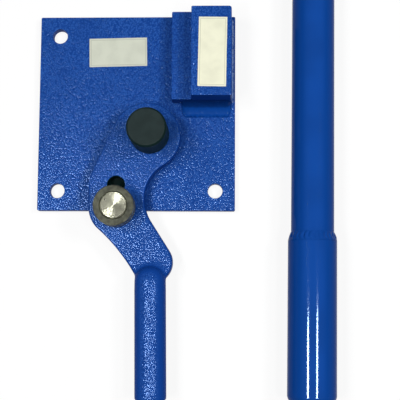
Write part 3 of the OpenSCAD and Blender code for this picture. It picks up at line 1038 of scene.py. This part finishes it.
class BENDER_OT_mandrel(bpy.types.Operator):
    """Builds the mandrel, its washers and its fixings"""

    bl_idname = "bender.mandrel"
    bl_label = "Mandrel"

    def execute(self, context):
        post = context.scene.bender_mandrel
        radius = (POST_HIGH.x - POST_LOW.x) / 2
        foot, top, seat = POST_LOW.z, POST_HIGH.z, BUSH_LOW.z + post.shoulder
        cut, under, soft = post.chamfer, 0.4 * MM, 0.5 * MM
        profile = eased([
            (0, foot, 0), (post.spigot_r, foot, cut), (post.spigot_r, PLATE_HIGH.z, 0),
            (post.journal_r, PLATE_HIGH.z, 0), (post.journal_r, seat, 0), (radius, seat, under),
            (radius, top - post.bevel, soft), (radius - post.bevel, top, soft), (0, top, 0),
        ], False)
        piece("bending_post", turned(profile), oxide_skin(), "mandrel", PIVOT)
        running = post.journal_r + CLEARANCE
        for name, node, bore, material in (
            ("bearing_washer", "thrust_washer", running, bush_bronze()),
            ("holding_washer", "mandrel_retainer", post.screw_r, turned_steel()),
            ("bearing_bush", "lever_bush", running, bush_bronze()),
        ):
            low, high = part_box(node)
            outer = (high.x - low.x) / 2
            ring = [(bore, low.z, cut), (outer, low.z, cut), (outer, high.z, cut), (bore, high.z, cut)]
            piece(name, turned(eased(ring, True, 2), True, 96), material, node, PIVOT)
        repaint(frame["nodes"]["mandrel_screw"].data, oxide_skin())
        repaint(frame["nodes"]["mandrel_dowel"].data, turned_steel())
        return {"FINISHED"}


class BENDER_OT_lever(bpy.types.Operator):
    """Builds the cast lever: the arm and the stub blended into one casting, then bored"""

    bl_idname = "bender.lever"
    bl_label = "Lever"

    def execute(self, context):
        lever = context.scene.bender_lever
        casting = self.cast(lever)
        repaint(casting, hammer_paint())
        cutter = new_object("bores", self.bores(lever))
        repaint(cutter.data, oxide_skin())
        cut = {"operation": "DIFFERENCE", "solver": "EXACT", "material_mode": "TRANSFER", "object": cutter}
        mesh = softened(modified(casting, ("BOOLEAN", cut)), CAST_ANGLE)
        bpy.data.objects.remove(cutter)
        piece("cast_lever", mesh, None, "lever_arm", PIVOT @ Matrix.Rotation(lever.turn, 4, "Z"))
        return {"FINISHED"}

    def cast(self, lever):
        """The arm and the stub as one casting, softened all over and most round the stub's root."""
        low, high = BUSH_LOW.z, BUSH_HIGH.z
        arm = slab(arm_outline(lever), low, high, lever.cast_edge)
        r, reach = lever.stub_r, lever.stub_reach - lever.root_reach
        bevel, soft = lever.stub_bevel, lever.stub_soft
        dome = [(r * math.cos(a), lever.root_l * math.sin(a)) for a in np.linspace(-math.pi / 2, 0, 25)]
        tail = [(r, 0, 0), (r, reach - bevel, soft), (r - bevel, reach, soft), (0, reach, 0)]
        stub = turned([*dome, *eased(tail, False)])
        lying = Matrix.Rotation(math.pi / 2, 4, "X")
        stub.transform(Matrix.Translation((0, -lever.root_reach, low + r)) @ lying)
        blend = {"mode": "VOXEL", "voxel_size": lever.grain}
        soften = {"factor": 0.5, "iterations": lever.smoothing}
        casting = modified(joined(arm, stub), ("REMESH", blend), ("SMOOTH", soften))
        middle = Vector((0, -lever.root_reach + r, high))
        weights = {}
        for vertex in casting.vertices:
            near = 1 - (vertex.co - middle).length / lever.root_blend
            if near > 0:
                weights[vertex.index] = min(1, near / (1 - lever.root_core))
        flow = {"factor": 0.5, "iterations": lever.root_passes, "vertex_group": "weights"}
        return modified(casting, ("SMOOTH", flow), weights=weights)

    def bores(self, lever):
        """Cutters with chamfered mouths for the bush's bore and the two blind pin holes."""
        low, high = BUSH_LOW.z, BUSH_HIGH.z
        bush_r, pin_r = (BUSH_HIGH.x - BUSH_LOW.x) / 2, lever.pin_hole_r
        over = 1 * MM
        flare = lever.hole_chamfer + over
        through = [(0, low - over), (bush_r + flare, low - over), (bush_r, low + lever.hole_chamfer)]
        blind = [(0, low + lever.pin_floor), (pin_r, low + lever.pin_floor)]
        cutters = []
        for x, y, radius, foot in (
            (0, 0, bush_r, through),
            (-lever.pin_offset, -lever.inner_pin, pin_r, blind),
            (-lever.pin_offset, -lever.outer_pin, pin_r, blind),
        ):
            mouth = [(radius, high - lever.hole_chamfer), (radius + flare, high + over), (0, high + over)]
            cutter = turned(foot + mouth, segments=72)
            cutter.transform(Matrix.Translation((x, y, 0)))
            cutters.append(cutter)
        return joined(*cutters)


class BENDER_OT_roller(bpy.types.Operator):
    """Builds the roller and the turned pin that carries it"""

    bl_idname = "bender.roller"
    bl_label = "Roller"

    def execute(self, context):
        roller = context.scene.bender_roller
        low, high = RING_LOW.z, RING_HIGH.z
        outer, bore = (RING_HIGH.x - RING_LOW.x) / 2, roller.bore_r
        bevel, soft, fine = roller.bevel, 0.3 * MM, 0.2 * MM
        ring = eased([
            (bore, low, soft), (outer - bevel, low, soft), (outer, low + bevel, soft),
            (outer, high - bevel, soft), (outer - bevel, high, soft), (bore + bevel, high, soft),
            (bore, high - bevel, fine),
        ], True, 3)
        piece("roller_shell", turned(ring, True), phosphate_skin(), "roller_ring", ROLLER_AXIS)

        foot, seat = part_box("roller_pin")[0].z, BUSH_HIGH.z
        journal, shank, flange = roller.journal_r, roller.shank_r, roller.flange_r
        ledge = seat + roller.flange_t
        body = eased([
            (0, foot, 0), (shank - bevel, foot, fine), (shank, foot + bevel, fine), (shank, seat, 0),
            (flange, seat, soft), (flange, ledge, soft), (journal, ledge, 0),
            (journal, high - bevel, fine), (journal - bevel, high, 0),
        ], False, 3)
        count = MARK_POINTS * roller.grooves
        face = []
        for i in range(1, count):
            inward = i / count
            mark = (1 - math.cos(2 * math.pi * i / MARK_POINTS)) / 2
            height = high - roller.cone * inward - roller.groove * mark
            face.append(((journal - bevel) * (1 - inward), height))
        profile = [*body, *face, (0, high - roller.cone)]
        piece("turned_pin", turned(profile), turned_steel(), "roller_pin", ROLLER_AXIS)
        return {"FINISHED"}


class BENDER_OT_handle(bpy.types.Operator):
    """Builds the loose handle's tube and sleeve"""

    bl_idname = "bender.handle"
    bl_label = "Handle"

    def execute(self, context):
        handle = context.scene.bender_handle
        edge, bore, tube, sleeve = handle.edge, handle.bore_r, handle.tube_r, handle.sleeve_r
        far, end, bevel = handle.reach, handle.sleeve_l, handle.sleeve_bevel
        lip, shoulder = 0.6 * MM, 1.2 * MM
        pipe = eased([(bore, 0, edge), (tube, 0, 0), (tube, far, edge), (bore, far, edge)], True, 3)
        cover = eased([
            (tube, 0, 0), (sleeve - bevel, 0, lip), (sleeve, handle.bevel_l, shoulder), (sleeve, end, edge),
            (tube, end, 0),
        ], True)
        piece("grip_tube", turned(pipe, True), gloss_paint(), "handle_tube", handle_place())
        piece("grip_sleeve", turned(cover, True), gloss_paint(), "handle_sleeve", handle_place())
        return {"FINISHED"}


class BENDER_OT_stage(bpy.types.Operator):
    """Builds the floor, the studio light and the camera"""

    bl_idname = "bender.stage"
    bl_label = "Stage"

    def execute(self, context):
        scene, stage = context.scene, context.scene.bender_stage
        self.lay_floor(stage)
        self.light_room(scene, stage)
        for name in LAMPS:
            self.hang_lamp(name, getattr(stage, name), *LAMPS[name])
        camera = bpy.data.cameras.new("camera")
        camera.lens = stage.lens
        camera.clip_start = 0.02
        camera.clip_end = 50
        eye = new_object("camera", camera)
        eye.location = stage.eye
        eye.rotation_euler = stage.aim
        scene.camera = eye
        scene.view_settings.view_transform = "Standard"
        return {"FINISHED"}

    def lay_floor(self, stage):
        """A pale floor that shows white and keeps a part of each shadow's depth."""
        bm = bmesh.new()
        bmesh.ops.create_grid(bm, x_segments=1, y_segments=1, size=FLOOR_HALF)
        floor = new_object("floor", mesh_from(bm))
        material, net = new_material("floor_white")
        plain = net.node("ShaderNodeBsdfDiffuse", {"Color": FLOOR_BOUNCE})[0]
        shown = net.node("ShaderNodeBsdfDiffuse", {"Color": rgba(stage.floor)})[0]
        glow = net.node("ShaderNodeEmission", {"Color": rgba(stage.floor), "Strength": 1})[0]
        net.end(net.blend(net.seen(), plain, net.blend(stage.glow, shown, glow)))
        repaint(floor.data, material)

    def light_room(self, scene, stage):
        """Walls round the horizon, which show as pale as the floor, under a dim ceiling."""
        world = bpy.data.worlds.new("studio")
        world.use_nodes = True
        world.node_tree.nodes.clear()
        net = Net(world.node_tree)
        up = net.split(net.node("ShaderNodeTexCoord")["Generated"])[2]
        lit = stage.ceiling + (1 - up.eased(0.12, 0.5)) * (stage.horizon - stage.ceiling)
        level = lit + net.seen() * (1 - up.eased(0.15, 0.35)) * (stage.glow - lit)
        room = net.node("ShaderNodeBackground", {"Color": (1, 1, 1, 1), "Strength": level})[0]
        net.node("ShaderNodeOutputWorld", {"Surface": room})
        scene.world = world

    def hang_lamp(self, name, watts, place, sizes, mirrored):
        """A lamp that faces the object, with its long side along the handle."""
        light = bpy.data.lights.new(name, "AREA")
        light.shape = "RECTANGLE"
        light.size, light.size_y = sizes
        light.energy = watts
        lamp = new_object(name, light)
        lamp.location = place
        back = (Vector(place) - LAMP_AIM).normalized()
        across = Vector((0, 1, 0)).cross(back).normalized()
        lamp.rotation_euler = Matrix((across, back.cross(across), back)).transposed().to_euler()
        lamp.visible_camera = False
        lamp.visible_glossy = mirrored


class BENDER_PT_panel(bpy.types.Panel):
    """Lists the bender's pieces and their sizes"""

    bl_idname = "BENDER_PT_panel"
    bl_label = "Rebar bender"
    bl_space_type = "VIEW_3D"
    bl_region_type = "UI"
    bl_category = "Bender"

    def draw(self, context):
        for operator in OPERATORS:
            self.layout.operator(operator.bl_idname)
        for name in GROUPS:
            box = self.layout.box()
            group = getattr(context.scene, name)
            for key in type(group).__annotations__:
                box.prop(group, key)


GROUPS = {
    "bender_base": BenderBase,
    "bender_mandrel": BenderMandrel,
    "bender_lever": BenderLever,
    "bender_roller": BenderRoller,
    "bender_handle": BenderHandle,
    "bender_finish": BenderFinish,
    "bender_stage": BenderStage,
}
OPERATORS = (
    BENDER_OT_base, BENDER_OT_welds, BENDER_OT_labels, BENDER_OT_mandrel, BENDER_OT_lever, BENDER_OT_roller,
    BENDER_OT_handle, BENDER_OT_stage,
)


def register():
    for group in GROUPS.values():
        bpy.utils.register_class(group)
    for name, group in GROUPS.items():
        setattr(bpy.types.Scene, name, PointerProperty(type=group))
    for made in (*OPERATORS, BENDER_PT_panel):
        bpy.utils.register_class(made)


def unregister():
    for made in reversed((*OPERATORS, BENDER_PT_panel)):
        bpy.utils.unregister_class(made)
    for name, group in GROUPS.items():
        delattr(bpy.types.Scene, name)
        bpy.utils.unregister_class(group)


def main():
    register()
    bpy.ops.bender.base()
    bpy.ops.bender.welds()
    bpy.ops.bender.labels()
    bpy.ops.bender.mandrel()
    bpy.ops.bender.lever()
    bpy.ops.bender.roller()
    bpy.ops.bender.handle()
    bpy.ops.bender.stage()


if __name__ == "__main__":
    main()
